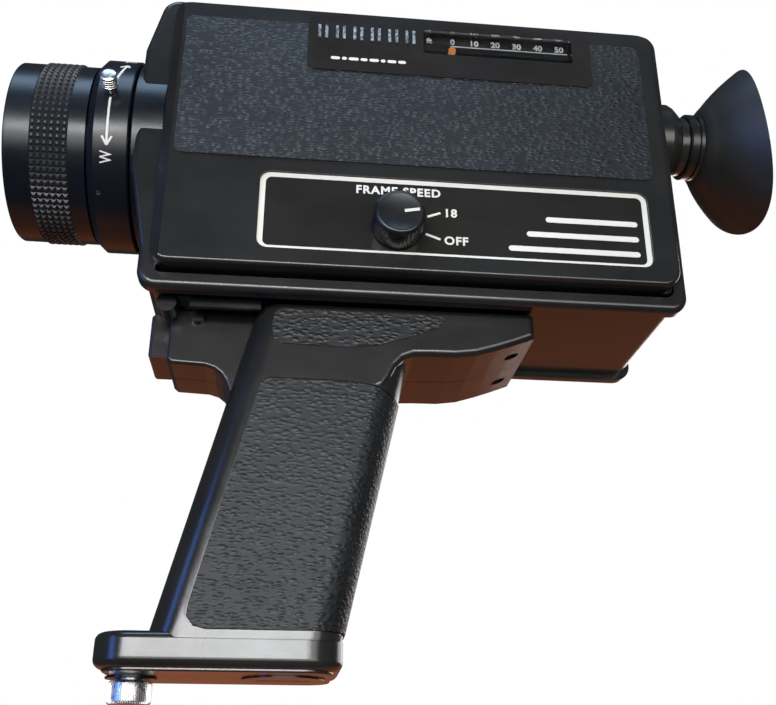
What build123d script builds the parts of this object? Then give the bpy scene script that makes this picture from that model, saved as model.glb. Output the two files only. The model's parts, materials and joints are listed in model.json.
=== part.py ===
from build123d import *
import math
import os

os.makedirs("parts", exist_ok=True)

# ---- driving dimensions, millimetres ----
# Drawn with the lens axis as the Y axis (x = 0, z = 0), lens to -Y, eyepiece to +Y, up is +Z.
# save() moves each part so that the mouth of the tripod thread is the origin.
BODY = [(0.5, 38.5), (-3.8, 20.0), (-3.8, -20.0), (0.8, -44.0), (0.8, -55.5), (147.2, -55.5), (147.2, 38.5)]
BODY_HALF = 27.0
BEAD_IN = 23.0
BEAD_DEPTH = 1.8
WALL = 4.0
FRONT_WALL_Y = 5.6
COVER_X = 32.5
COVER_Y = (4.0, 143.6)
COVER_Z = (-50.6, 34.4)
COVER_R = 5.0

FOCUS_R = 26.0
FOCUS_Y = (-39.7, -17.7)
FILTER_R = 24.5
GRIP_BAND_Y = (-32.6, -22.3)
ZOOM_R = 28.3
ZOOM_Y = (-17.0, -5.6)
COLLAR_R = 28.0
COLLAR_Y = (-5.2, 3.4)
BARREL_R = 21.9
LEVER_ANGLE = 7.0

EYE_Z = 17.4
BOSS_R = 13.0
BOSS_Y = (145.4, 156.2, 160.2, 162.8)
TUBE_R = 8.4
DIOPTER_R = 10.4
DIOPTER_Y = (163.1, 167.3)
CUP_Y = 167.6

LEATHER_Y = (7.8, 138.7)
LEATHER_Z = (-18.4, 27.7)
PANEL_Y = (31.0, 136.5)
PANEL_Z = (-45.6, -22.3)
PLATE_Y = (42.0, 124.0)
PLATE_Z = (11.8, 30.5)
WINDOW_Y = (75.0, 118.6)
WINDOW_Z = (19.9, 28.5)
KNOB = (67.6, -37.2)

GRIP_HALF = 19.0
GRIP_TOP_Z = -55.0
GRIP_BASE_Z = -147.5
BASE_Z = -148.2
HOUSING_HALF = 11.3
TRIGGER_HALF = 8.0
TRIGGER_TRAVEL = 2.5
CELL = (43.0, 8.3)
FOOT_Z = -139.4
FOOT_Y = 27.8
FOOT_LENGTH = 58.4
PIVOT = (15.8, -56.7)
SEAM = 0.12
STRAP_Y = 6.3
STRAP_Z = -154.8

SPINDLE = (75.0, -20.0)
MOTOR = (115.0, 4.0)
IDLER = (95.8, 4.0)
COUNTER = (64.0, 11.7)
SHUTTER = (0.0, -18.0)

HINGE = (-30.0, 1.2)
HINGE_R = 2.0


def save(builder, name):
    part = builder.part.moved(Location((0, -STRAP_Y, -STRAP_Z)))
    part.label = name
    export_step(part, "parts/" + name + ".step")


def outline(inset, corner):
    # side profile of the body, inset all round
    with BuildSketch(Plane.YZ) as sk:
        with BuildLine():
            Polyline(*BODY, close=True)
        make_face()
        if inset > 0:
            offset(amount=-inset, kind=Kind.INTERSECTION, mode=Mode.REPLACE)
        fillet(sk.vertices(), corner)
    return sk.sketch


def slab(half, x0, x1, y, z, radius):
    # rounded rectangle in the YZ plane, extruded along X from x0 to x1
    with BuildPart() as bp:
        with BuildSketch(Plane.YZ.offset(x0)):
            with Locations(((y[0] + y[1]) / 2, (z[0] + z[1]) / 2)):
                RectangleRounded(y[1] - y[0] - half, z[1] - z[0] - half, radius)
        extrude(amount=x1 - x0)
    return bp.part


def prism(points, x0, x1):
    # polygon in the YZ plane, extruded along X from x0 to x1
    with BuildPart() as bp:
        with BuildSketch(Plane.YZ.offset(x0)):
            with BuildLine():
                Polyline(*points, close=True)
            make_face()
        extrude(amount=x1 - x0)
    return bp.part


def ring_y(profile, cx=0.0, cz=0.0):
    # turned part about an axis along Y through (cx, cz); profile is (radius, y)
    with BuildPart() as bp:
        with BuildSketch(Plane.XY.offset(cz)):
            with BuildLine():
                Polyline(*[(cx + r, y) for r, y in profile], close=True)
            make_face()
        revolve(axis=Axis((cx, 0, cz), (0, 1, 0)))
    return bp.part


def rod_y(cx, cz, radius, y0, y1):
    with BuildPart() as bp:
        with BuildSketch(Plane.XZ.offset(-y0)):
            with Locations((cx, cz)):
                Circle(radius)
        extrude(amount=-(y1 - y0))
    return bp.part


def rod_x(cy, cz, radius, x0, x1):
    with BuildPart() as bp:
        with BuildSketch(Plane.YZ.offset(x0)):
            with Locations((cy, cz)):
                Circle(radius)
        extrude(amount=x1 - x0)
    return bp.part


def rod_z(cx, cy, radius, z0, z1):
    with BuildPart() as bp:
        with BuildSketch(Plane.XY.offset(z0)):
            with Locations((cx, cy)):
                Circle(radius)
        extrude(amount=z1 - z0)
    return bp.part


def box(x0, x1, y0, y1, z0, z1):
    with BuildPart() as bp:
        with Locations(((x0 + x1) / 2, (y0 + y1) / 2, (z0 + z1) / 2)):
            Box(x1 - x0, y1 - y0, z1 - z0)
    return bp.part


# ================= body =================

# middle casting with a rounded bead at each seam
with BuildPart() as body_shell:
    add(extrude(outline(0, 5.0), amount=BODY_HALF, both=True))
    fillet(body_shell.faces().sort_by(Axis.X)[-1].edges(), 1.8)
    fillet(body_shell.faces().sort_by(Axis.X)[0].edges(), 1.8)
    add(extrude(outline(0, 5.0), amount=BEAD_IN, both=True), mode=Mode.SUBTRACT)
    add(extrude(outline(BEAD_DEPTH, 3.4), amount=BEAD_IN + 1, both=True))
    with BuildPart(mode=Mode.PRIVATE) as hollow:
        add(extrude(outline(WALL, 2.4), amount=BODY_HALF + 1, both=True))
        add(box(-40, 40, -20, FRONT_WALL_Y, -80, 60), mode=Mode.SUBTRACT)
    add(hollow.part, mode=Mode.SUBTRACT)
    add(rod_y(0, 0, COLLAR_R + 0.02, -10, COLLAR_Y[1]), mode=Mode.SUBTRACT)
    add(rod_y(0, 0, 20.0, -10, 10), mode=Mode.SUBTRACT)
    add(rod_y(0, EYE_Z, TUBE_R + 0.1, 140, 150), mode=Mode.SUBTRACT)
    # hinge knuckles for the film door
    for z0 in (23.0, -46.0):
        for k in (0, 2):
            add(rod_z(HINGE[0], HINGE[1], HINGE_R, z0 + 3.0 * k, z0 + 3.0 * k + 2.9))
            add(box(-28.6, -26.4, HINGE[1] - 0.6, HINGE[1] + 1.7, z0 + 3.0 * k, z0 + 3.0 * k + 2.9))
        add(rod_z(HINGE[0], HINGE[1], 1.05, z0 - 1, z0 + 10), mode=Mode.SUBTRACT)
save(body_shell, "body_shell")

# left side cover: bevelled front and top, pockets for the leather, panel and name plate
with BuildPart() as left_cover:
    add(slab(0, BODY_HALF, COVER_X, COVER_Y, COVER_Z, COVER_R))
    fillet(left_cover.faces().sort_by(Axis.X)[-1].edges(), 1.0)
    with BuildSketch(Plane.XY.offset(-60)):
        with BuildLine():
            Polyline((COVER_X + 1, 7.4), (COVER_X + 1, 3), (29.6, 3), (29.6, 4.0), (COVER_X, 6.8), close=True)
        make_face()
    extrude(amount=110, mode=Mode.SUBTRACT)
    with BuildSketch(Plane.XZ.offset(-150)):
        with BuildLine():
            Polyline((COVER_X + 1, 30.8), (COVER_X, 30.8), (30.4, 35), (COVER_X + 1, 35), close=True)
        make_face()
    extrude(amount=160, mode=Mode.SUBTRACT)
    add(slab(0, 25.2, BODY_HALF, (6.2, 142.9), (-50.4, 34.2), 2.0))
    add(slab(0, 24.0, 29.8, (8.2, 140.9), (-48.4, 32.2), 2.0), mode=Mode.SUBTRACT)
    add(slab(0, COVER_X - 0.4, COVER_X + 1, LEATHER_Y, LEATHER_Z, 2.0), mode=Mode.SUBTRACT)
    add(slab(0, COVER_X - 0.4, COVER_X + 1, PLATE_Y, PLATE_Z, 2.5), mode=Mode.SUBTRACT)
    add(slab(0, COVER_X - 1.3, COVER_X + 1, PANEL_Y, PANEL_Z, 3.0), mode=Mode.SUBTRACT)
    add(slab(0, COVER_X - 3.0, COVER_X + 1, WINDOW_Y, WINDOW_Z, 0.8), mode=Mode.SUBTRACT)
    add(rod_x(KNOB[0], KNOB[1], 2.0, 25, 34), mode=Mode.SUBTRACT)
    # slot the footage pointer's arm runs in
    add(box(28, 31, 82.4, 115.6, 20.6, 22.6), mode=Mode.SUBTRACT)
save(left_cover, "left_cover")

with BuildPart() as left_leather:
    add(slab(0, COVER_X - 0.4, COVER_X + 0.4, LEATHER_Y, LEATHER_Z, 2.0))
    add(slab(0, COVER_X - 1, COVER_X + 1, PLATE_Y, PLATE_Z, 2.5), mode=Mode.SUBTRACT)
save(left_leather, "left_leather")

# name plate with its window opening
with BuildPart() as name_plate:
    add(slab(0, COVER_X - 0.4, COVER_X + 0.7, PLATE_Y, PLATE_Z, 2.5))
    add(slab(0, COVER_X - 1, COVER_X + 1, WINDOW_Y, WINDOW_Z, 0.8), mode=Mode.SUBTRACT)
save(name_plate, "name_plate")

# row of raised bright bars on the name plate
with BuildPart() as plate_bars:
    for i in range(6):
        y = 44.8 + 5.0 * i
        add(box(COVER_X + 0.7, COVER_X + 1.1, y, y + 0.8, 22.6, 27.2))
        add(box(COVER_X + 0.7, COVER_X + 1.1, y + 2.0, y + 2.8, 22.6, 27.2))
save(plate_bars, "plate_bars")

with BuildPart() as footage_window:
    add(slab(0.1, COVER_X - 0.5, COVER_X + 0.5, WINDOW_Y, WINDOW_Z, 0.7))
save(footage_window, "footage_window")

# scale card at the bottom of the window, above the pointer's slot
with BuildPart() as footage_scale:
    add(box(COVER_X - 3.0, COVER_X - 2.5, 75.4, 118.2, 23.2, 28.2))
save(footage_scale, "footage_scale")

# orange pointer and the slide that carries it behind the cover
with BuildPart() as footage_pointer:
    add(box(COVER_X - 2.9, COVER_X - 2.0, 82.6, 84.4, 20.2, 22.9))
    add(box(28.0, COVER_X - 2.8, 82.8, 84.2, 21.0, 22.2))
    add(box(27.0, 28.6, 30.0, 92.0, 19.6, 23.4))
save(footage_pointer, "footage_pointer")

# recessed control panel with border, stripes and tick marks
with BuildPart() as control_panel:
    add(slab(0.1, COVER_X - 1.3, COVER_X - 0.9, PANEL_Y, PANEL_Z, 2.9))
    add(rod_x(KNOB[0], KNOB[1], 2.1, 30, 34), mode=Mode.SUBTRACT)
save(control_panel, "control_panel")

with BuildPart() as panel_marks:
    add(slab(0.2, COVER_X - 0.9, COVER_X - 0.8, PANEL_Y, PANEL_Z, 2.8))
    add(slab(3.2, COVER_X - 1, COVER_X - 0.7, PANEL_Y, PANEL_Z, 1.6), mode=Mode.SUBTRACT)
    for y0, z0 in ((108.5, -32.2), (103.1, -36.9), (98.0, -41.5)):
        add(slab(0, COVER_X - 0.9, COVER_X - 0.8, (y0, 132.3), (z0 - 0.8, z0 + 0.8), 0.75))
    for a in (22.5, -22.5):
        with BuildSketch(Plane.YZ.offset(COVER_X - 0.9)):
            with Locations(Location((KNOB[0], KNOB[1], 0), a)):
                with Locations((10.4, 0)):
                    Rectangle(3.8, 0.7)
        extrude(amount=0.1)
save(panel_marks, "panel_marks")

with BuildPart() as speed_knob:
    add(rod_x(KNOB[0], KNOB[1], 6.4, 32.0, 40.0))
    chamfer(speed_knob.faces().sort_by(Axis.X)[-1].edges(), 0.5)
    add(rod_x(KNOB[0], KNOB[1], 1.94, 24.0, 32.0))
    add(rod_x(KNOB[0], KNOB[1], 3.2, 28.6, 29.6))
    # pointer groove across the top
    with BuildSketch(Plane.YZ.offset(39.7)):
        with Locations(Location((KNOB[0], KNOB[1], 0), 11.0)):
            with Locations((3.1, 0)):
                Rectangle(4.6, 0.8)
    extrude(amount=1.0, mode=Mode.SUBTRACT)
save(speed_knob, "speed_knob")

# switch wafer behind the knob, on two posts
with BuildPart() as speed_switch:
    add(box(22.0, 28.4, 58.0, 77.0, -45.0, -30.0))
    add(rod_x(60.0, -43.0, 1.5, 28.4, 29.8))
    add(rod_x(75.0, -32.0, 1.5, 28.4, 29.8))
    add(rod_x(KNOB[0], KNOB[1], 2.1, 21, 29), mode=Mode.SUBTRACT)
save(speed_switch, "speed_switch")

# ================= film door =================

with BuildPart() as film_door:
    add(slab(0, -COVER_X, -BODY_HALF - 0.1, COVER_Y, COVER_Z, COVER_R))
    fillet(film_door.faces().sort_by(Axis.X)[0].edges(), 1.0)
    add(slab(0, -BODY_HALF - 0.1, -25.2, (8.0, 139.6), (-50.0, 33.8), 2.0))
    add(slab(0, -30.3, -24.0, (10.0, 137.6), (-48.0, 31.8), 2.0), mode=Mode.SUBTRACT)
    add(slab(0, -COVER_X - 1, -COVER_X + 0.4, LEATHER_Y, LEATHER_Z, 2.0), mode=Mode.SUBTRACT)
    add(slab(0, -COVER_X - 1, -28, (88.0, 100.0), (-8.0, 14.0), 1.5), mode=Mode.SUBTRACT)
    add(slab(0, -COVER_X - 1, -COVER_X + 0.9, (121.6, 136.4), (-39.4, -28.6), 1.5), mode=Mode.SUBTRACT)
    add(box(-32, -24, 126.9, 133.1, -36.1, -31.9), mode=Mode.SUBTRACT)
    add(box(-27.4, -25, 126.9, 141, -36.1, -31.9), mode=Mode.SUBTRACT)
    add(slab(-1.7, -COVER_X + 1.5, -28, (88.0, 100.0), (-8.0, 14.0), 1.5), mode=Mode.SUBTRACT)
    # moulded frame that presses the cartridge
    add(box(-30.3, -14.6, 52.0, 78.0, -18.0, 6.0))
    add(box(-31, -17.0, 54.5, 75.5, -15.5, 3.5), mode=Mode.SUBTRACT)
    for z0 in (23.0, -46.0):
        add(rod_z(HINGE[0], HINGE[1], HINGE_R, z0 + 3.0, z0 + 5.9))
        add(box(-31.5, -29.6, HINGE[1] + 0.4, 5.0, z0 + 3.0, z0 + 5.9))
        add(rod_z(HINGE[0], HINGE[1], 1.06, z0 - 1, z0 + 10), mode=Mode.SUBTRACT)
save(film_door, "film_door")

with BuildPart() as hinge_pins:
    for z0 in (23.0, -46.0):
        add(rod_z(HINGE[0], HINGE[1], 1.0, z0 - 0.2, z0 + 9.1))
save(hinge_pins, "hinge_pins")

with BuildPart() as door_leather:
    add(slab(0, -COVER_X - 0.4, -COVER_X + 0.4, LEATHER_Y, LEATHER_Z, 2.0))
    add(slab(0, -COVER_X - 1, -COVER_X + 1, (88.0, 100.0), (-8.0, 14.0), 1.5), mode=Mode.SUBTRACT)
save(door_leather, "door_leather")

with BuildPart() as door_window:
    add(slab(0.1, -COVER_X + 0.3, -COVER_X + 1.5, (88.0, 100.0), (-8.0, 14.0), 1.4))
    add(slab(-1.6, -COVER_X + 1.5, -COVER_X + 2.2, (88.0, 100.0), (-8.0, 14.0), 1.4))
save(door_window, "door_window")

# sliding latch: ribbed button, stem and inner tongue
with BuildPart() as door_latch:
    add(box(-33.3, -31.75, 125.2, 135.8, -38.4, -29.6))
    for i in range(5):
        add(box(-33.9, -33.2, 126.4 + 2.0 * i, 127.4 + 2.0 * i, -37.8, -30.2))
    add(box(-31.8, -26.4, 130.0, 132.9, -35.9, -32.1))
    add(box(-26.9, -25.7, 130.0, 141.4, -35.9, -32.1))
save(door_latch, "door_latch")

# ================= lens =================

with BuildPart() as lens_collar:
    add(ring_y([(20.0, COLLAR_Y[0]), (27.6, COLLAR_Y[0]), (COLLAR_R, -4.8), (COLLAR_R, COLLAR_Y[1]), (20.0, COLLAR_Y[1])]))
save(lens_collar, "lens_collar")

with BuildPart() as lens_barrel:
    add(ring_y([(19.7, -34.0), (BARREL_R, -34.0), (BARREL_R, COLLAR_Y[0]), (20.0, COLLAR_Y[0]), (20.0, 6.0),
                (9.82, 6.0), (9.82, 3.0), (12.0, 3.0), (12.0, 4.4), (17.6, 4.4), (17.6, -7.0), (19.7, -9.0)]))
save(lens_barrel, "lens_barrel")

with BuildPart() as zoom_ring:
    add(ring_y([(22.0, ZOOM_Y[0]), (26.4, ZOOM_Y[0]), (ZOOM_R, -15.0), (ZOOM_R, -6.0), (27.9, ZOOM_Y[1]), (22.0, ZOOM_Y[1])]))
    with BuildSketch(Plane(origin=(0, -11.4, 0), x_dir=(0, 1, 0), z_dir=Vector(1, 0, 0).rotate(Axis.Y, -LEVER_ANGLE))):
        Circle(1.4)
    extrude(amount=40, mode=Mode.SUBTRACT)
    with BuildSketch(Plane(origin=(0, -13.8, 0), x_dir=(0, 1, 0), z_dir=Vector(1, 0, 0).rotate(Axis.Y, 53.5))):
        Circle(0.75)
    extrude(amount=40, mode=Mode.SUBTRACT)
save(zoom_ring, "zoom_ring")

# silver stud screwed into the zoom ring
with BuildPart() as zoom_lever:
    stud = Plane(origin=(0, -11.4, 0), x_dir=(0, 1, 0), z_dir=Vector(1, 0, 0).rotate(Axis.Y, -LEVER_ANGLE))
    with BuildSketch(stud.offset(24.0)):
        Circle(1.4)
    extrude(amount=4.4)
    with BuildSketch(stud.offset(28.35)):
        Circle(1.7)
    extrude(amount=2.2)
    with BuildSketch(stud.offset(30.5)):
        Circle(2.3)
    extrude(amount=4.0)
    chamfer(zoom_lever.edges().filter_by(GeomType.CIRCLE).sort_by(Axis.X)[-1], 0.3)
save(zoom_lever, "zoom_lever")

with BuildPart() as zoom_set_screw:
    with BuildSketch(Plane(origin=(0, -13.8, 0), x_dir=(0, 1, 0), z_dir=Vector(1, 0, 0).rotate(Axis.Y, 53.5)).offset(24.5)):
        Circle(0.74)
    extrude(amount=3.6)
save(zoom_set_screw, "zoom_set_screw")

with BuildPart() as focus_ring:
    add(ring_y([(22.0, -35.6), (23.8, -35.6), (23.8, -36.4), (FILTER_R, -36.4), (FILTER_R, -39.2),
                (25.2, FOCUS_Y[0]), (25.7, FOCUS_Y[0]),
                (FOCUS_R, -39.3), (FOCUS_R, GRIP_BAND_Y[0]), (25.0, GRIP_BAND_Y[0]), (25.0, GRIP_BAND_Y[1]),
                (FOCUS_R, GRIP_BAND_Y[1]), (FOCUS_R, FOCUS_Y[1]), (22.0, FOCUS_Y[1])]))
save(focus_ring, "focus_ring")

with BuildPart() as focus_grip:
    add(ring_y([(25.0, GRIP_BAND_Y[0]), (26.5, GRIP_BAND_Y[0]), (26.5, GRIP_BAND_Y[1]), (25.0, GRIP_BAND_Y[1])]))
save(focus_grip, "focus_grip")

with BuildPart() as front_ring:
    add(ring_y([(18.6, -35.6), (23.7, -35.6), (23.7, -36.4), (19.8, -36.4)]))
save(front_ring, "front_ring")

with BuildPart() as front_cell:
    add(ring_y([(18.3, -33.0), (19.6, -33.0), (19.6, -20.0), (17.0, -20.0), (17.0, -26.3), (18.3, -26.3)]))
save(front_cell, "front_cell")


def sag(radius, bulge, r):
    # height of a spherical face above its edge plane at radius r
    ball = (radius * radius + bulge * bulge) / (2 * bulge)
    return math.sqrt(ball * ball - r * r) - (ball - bulge)


def lens(name, radius, y0, y1, bulge0, bulge1, cz=0.0):
    # round glass element between y0 and y1 at the edge, both faces spherical
    with BuildPart() as bp:
        with BuildSketch(Plane.XY.offset(cz)):
            with BuildLine():
                ThreePointArc((0, y0 - bulge0), (radius / 2, y0 - sag(radius, bulge0, radius / 2)), (radius, y0))
                Line((radius, y0), (radius, y1))
                ThreePointArc((radius, y1), (radius / 2, y1 + sag(radius, bulge1, radius / 2)), (0, y1 + bulge1))
                Line((0, y1 + bulge1), (0, y0 - bulge0))
            make_face()
        revolve(axis=Axis((0, 0, cz), (0, 1, 0)))
    save(bp, name)


lens("front_element", 18.28, -30.5, -26.5, 2.4, 0.8)
lens("zoom_element", 15.9, -7.5, -4.9, 1.0, 1.0)
lens("rear_element", 9.8, 3.0, 5.2, 0.8, 0.6)

with BuildPart() as zoom_cell:
    add(ring_y([(15.92, -9.0), (17.5, -9.0), (17.5, -3.4), (15.92, -3.4)]))
save(zoom_cell, "zoom_cell")

# ================= mechanism =================

# plate that carries the mechanism: bearing block for the shutter, posts for the gears
with BuildPart() as chassis_plate:
    add(box(13.0, 14.6, 18.0, 140.4, -51.5, 34.5))
    add(box(13.0, 14.6, 9.0, 18.0, -38.0, -12.0))
    add(box(12, 16, 14.8, 16.2, -36, -11), mode=Mode.SUBTRACT)
    add(rod_x(SPINDLE[0], SPINDLE[1], 3.1, 12, 16), mode=Mode.SUBTRACT)
    add(rod_x(MOTOR[0], MOTOR[1], 5.2, 12, 16), mode=Mode.SUBTRACT)
    add(box(-4.0, 13.0, 9.5, 14.0, -23.0, -13.0))
    add(rod_y(SHUTTER[0], SHUTTER[1], 1.56, 9.0, 14.5), mode=Mode.SUBTRACT)
    add(rod_x(IDLER[0], IDLER[1], 1.44, 14.6, 19.6))
    add(rod_x(IDLER[0], IDLER[1], 2.6, 18.8, 19.6))
    add(rod_x(COUNTER[0], COUNTER[1], 1.2, 14.6, 29.4))
save(chassis_plate, "chassis_plate")

with BuildPart() as film_gate:
    add(box(-13.0, 13.0, 18.6, 20.6, -16.0, 16.0))
    add(box(-2.9, 2.9, 18, 21, -2.1, 2.1), mode=Mode.SUBTRACT)
    add(box(-4.2, 4.2, 20.2, 21, -16, 16), mode=Mode.SUBTRACT)
save(film_gate, "film_gate")

with BuildPart() as beam_prism:
    add(box(-4.0, 4.0, 6.6, 13.0, -4.0, 9.0))
save(beam_prism, "beam_prism")

# finder light path: front riser, tube over the film chamber, rear riser
with BuildPart() as finder_housing:
    add(box(-5.5, 5.5, 6.2, 14.0, 9.0, 34.5))
    add(rod_y(0, 27.0, 5.5, 14.0, 128.0))
    add(box(-7.0, 7.0, 128.0, 141.0, 9.4, 34.5))
    add(rod_y(0, 27.0, 4.3, 8.0, 138.0), mode=Mode.SUBTRACT)
    add(box(-4.3, 4.3, 7.4, 12.8, 8.0, 31.3), mode=Mode.SUBTRACT)
    add(box(-5.5, 5.5, 130.0, 139.5, 11.0, 33.0), mode=Mode.SUBTRACT)
    add(rod_y(0, EYE_Z, 4.3, 135.0, 142.0), mode=Mode.SUBTRACT)
save(finder_housing, "finder_housing")

with BuildPart() as shutter_disc:
    add(rod_y(SHUTTER[0], SHUTTER[1], 20.5, 15.2, 15.8))
    with BuildSketch(Plane.XZ.offset(-15.0)):
        with BuildLine():
            Polyline((0, -12), (-19, -2), (-19, 8), (19, 8), (19, -2), close=True)
        make_face()
    extrude(amount=-1.2, mode=Mode.SUBTRACT)
    add(rod_y(SHUTTER[0], SHUTTER[1], 3.0, 14.3, 15.2))
    add(rod_y(SHUTTER[0], SHUTTER[1], 1.5, 9.0, 15.2))
save(shutter_disc, "shutter_disc")

def gear_x(cy, cz, root, tip, teeth, x0, x1):
    # spur gear about an axis along X with square-cut teeth
    with BuildPart() as bp:
        with BuildSketch(Plane.YZ.offset(x0)):
            with Locations((cy, cz)):
                Circle(root)
                with PolarLocations(root + (tip - root) / 2 - 0.2, teeth):
                    Rectangle(tip - root + 0.4, 3.1416 * tip / teeth * 0.8)
        extrude(amount=x1 - x0)
    return bp.part


with BuildPart() as motor:
    add(rod_x(MOTOR[0], MOTOR[1], 12.0, -16.0, 13.0))
    add(rod_x(MOTOR[0], MOTOR[1], 5.0, 13.0, 14.6))
    add(rod_x(MOTOR[0], MOTOR[1], 1.16, 11.0, 18.0), mode=Mode.SUBTRACT)
save(motor, "motor")

with BuildPart() as motor_pinion:
    add(gear_x(MOTOR[0], MOTOR[1], 3.0, 4.0, 12, 16.0, 19.0))
    add(rod_x(MOTOR[0], MOTOR[1], 1.1, 11.4, 16.0))
save(motor_pinion, "motor_pinion")

with BuildPart() as drive_gear:
    add(gear_x(IDLER[0], IDLER[1], 14.0, 15.0, 45, 16.0, 18.4))
    add(rod_x(IDLER[0], IDLER[1], 1.5, 15.0, 22.0), mode=Mode.SUBTRACT)
save(drive_gear, "drive_gear")

# film take-up spindle through the chassis plate, with its gear
with BuildPart() as takeup_spindle:
    add(rod_x(SPINDLE[0], SPINDLE[1], 3.04, 6.0, 16.4))
    add(rod_x(SPINDLE[0], SPINDLE[1], 6.0, 10.6, 12.6))
    with BuildSketch(Plane.YZ.offset(6.0)):
        with Locations(SPINDLE):
            with PolarLocations(3.6, 3):
                Rectangle(2.2, 1.0)
    extrude(amount=4.8)
    add(gear_x(SPINDLE[0], SPINDLE[1], 15.5, 16.5, 50, 16.4, 18.4))
save(takeup_spindle, "takeup_spindle")

# pinion that shifts the footage pointer's rack
with BuildPart() as counter_gear:
    add(gear_x(COUNTER[0], COUNTER[1], 6.6, 7.6, 24, 26.2, 28.8))
    add(rod_x(COUNTER[0], COUNTER[1], 1.26, 20, 30), mode=Mode.SUBTRACT)
save(counter_gear, "counter_gear")

# ================= eyepiece =================

with BuildPart() as eyepiece_boss:
    add(ring_y([(TUBE_R, BOSS_Y[0]), (BOSS_R, BOSS_Y[0]), (BOSS_R, BOSS_Y[1]), (12.3, BOSS_Y[1] + 1.4),
                (10.0, BOSS_Y[2]), (9.2, BOSS_Y[2]), (9.2, BOSS_Y[3]), (TUBE_R, BOSS_Y[3])], 0, EYE_Z))
save(eyepiece_boss, "eyepiece_boss")

with BuildPart() as eyepiece_tube:
    add(ring_y([(7.0, 141.2), (TUBE_R, 141.2), (TUBE_R, 172.4), (7.0, 172.4)], 0, EYE_Z))
save(eyepiece_tube, "eyepiece_tube")

with BuildPart() as diopter_ring:
    add(ring_y([(TUBE_R + 0.05, DIOPTER_Y[0]), (10.0, DIOPTER_Y[0]), (DIOPTER_R, 163.5), (DIOPTER_R, 165.4), (9.7, 165.6),
                (9.7, 166.0), (DIOPTER_R, 166.2), (DIOPTER_R, DIOPTER_Y[1]), (TUBE_R + 0.05, DIOPTER_Y[1])], 0, EYE_Z))
save(diopter_ring, "diopter_ring")

lens("eye_lens", 6.9, 168.4, 170.0, 1.0, 1.0, EYE_Z)

# soft eyecup: sleeve, flared cup, rim cut on a slant
with BuildPart() as eyecup:
    with BuildSketch(Plane.XY.offset(EYE_Z)):
        with BuildLine():
            Line((TUBE_R + 0.05, CUP_Y), (10.3, CUP_Y))
            Spline((10.3, CUP_Y), (13.6, 170.4), (18.2, 174.4), (22.6, 178.8), (25.4, 182.8), (26.6, 188.0))
            Line((26.6, 188.0), (25.0, 188.4))
            Spline((25.0, 188.4), (23.7, 183.6), (21.2, 180.2), (16.8, 176.0), (12.6, 172.3), (10.2, 171.4))
            Line((10.2, 171.4), (TUBE_R + 0.05, 171.4))
            Line((TUBE_R + 0.05, 171.4), (TUBE_R + 0.05, CUP_Y))
        make_face()
    revolve(axis=Axis((0, 0, EYE_Z), (0, 1, 0)))
    with BuildSketch(Plane.YZ.offset(-40)):
        with BuildLine():
            Polyline((183.6, 60), (200, 60), (200, -20), (186.6, -20), close=True)
        make_face()
    extrude(amount=80, mode=Mode.SUBTRACT)
save(eyecup, "eyecup")

# ================= grip =================

FRONT = [(-55.0, 31.4), (-147.5, 8.9)]
REAR = [(-55.0, 75.4), (-147.5, 55.1)]


def column(off, z_top, z_bottom):
    # slanted grip column with rounded corners, grown by off
    with BuildPart() as bp:
        for z in (z_top, z_bottom):
            t = (z - FRONT[0][0]) / (FRONT[1][0] - FRONT[0][0])
            y0 = FRONT[0][1] + t * (FRONT[1][1] - FRONT[0][1]) - off
            y1 = REAR[0][1] + t * (REAR[1][1] - REAR[0][1]) + off
            with BuildSketch(Plane.XY.offset(z)):
                with Locations((0, (y0 + y1) / 2)):
                    RectangleRounded(2 * (GRIP_HALF + off), y1 - y0, 8.0 + off)
        loft(ruled=True)
    return bp.part


PAD = [(36.2, -76.4), (56.0, -76.5), (63.5, -77.5), (68.0, -79.6), (80.0, -83.0), (80.0, -138.9), (24.5, -138.9),
       (21.6, -138.2), (20.0, -136.2), (20.3, -133.0), (33.4, -80.0), (34.2, -77.6)]
SADDLE = [(38.4, -56.6), (80.8, -56.6), (82.0, -57.6), (80.1, -60.0), (72.1, -63.2), (64.2, -65.8), (56.3, -66.8),
          (38.8, -66.4), (36.6, -65.0), (36.0, -61.0), (36.6, -57.6)]
WING = [(45.0, GRIP_TOP_Z), (106.4, GRIP_TOP_Z), (106.4, -61.3), (101.1, -63.4), (96.2, -65.2), (90.5, -67.0),
        (84.8, -67.8), (77.6, -67.9), (73.4, -68.1), (70.8, -69.2), (68.9, -71.3), (67.6, -74.1), (65.8, -77.0), (62.4, -78.8), (45.0, -78.8)]
HOUSING = [(8.6, -54.7), (36.0, -54.7), (36.0, -80.6), (28.0, -80.6), (25.4, -77.4), (24.2, -74.4), (23.0, -72.6),
           (21.2, -71.2), (18.5, -70.4), (9.8, -70.0), (8.6, -69.0)]


def soft_block(points, half, radius):
    # upright slab whose outer edges are rounded except along its top
    with BuildPart() as bp:
        with BuildSketch(Plane.YZ):
            with BuildLine():
                Polyline(*points, close=True)
            make_face()
        extrude(amount=half, both=True)
        rims = [e for e in bp.edges() if abs(abs(e.center().X) - half) < 0.01 and e.center().Z < points[0][1] - 0.4]
        fillet(rims, radius)
    return bp.part


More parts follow.
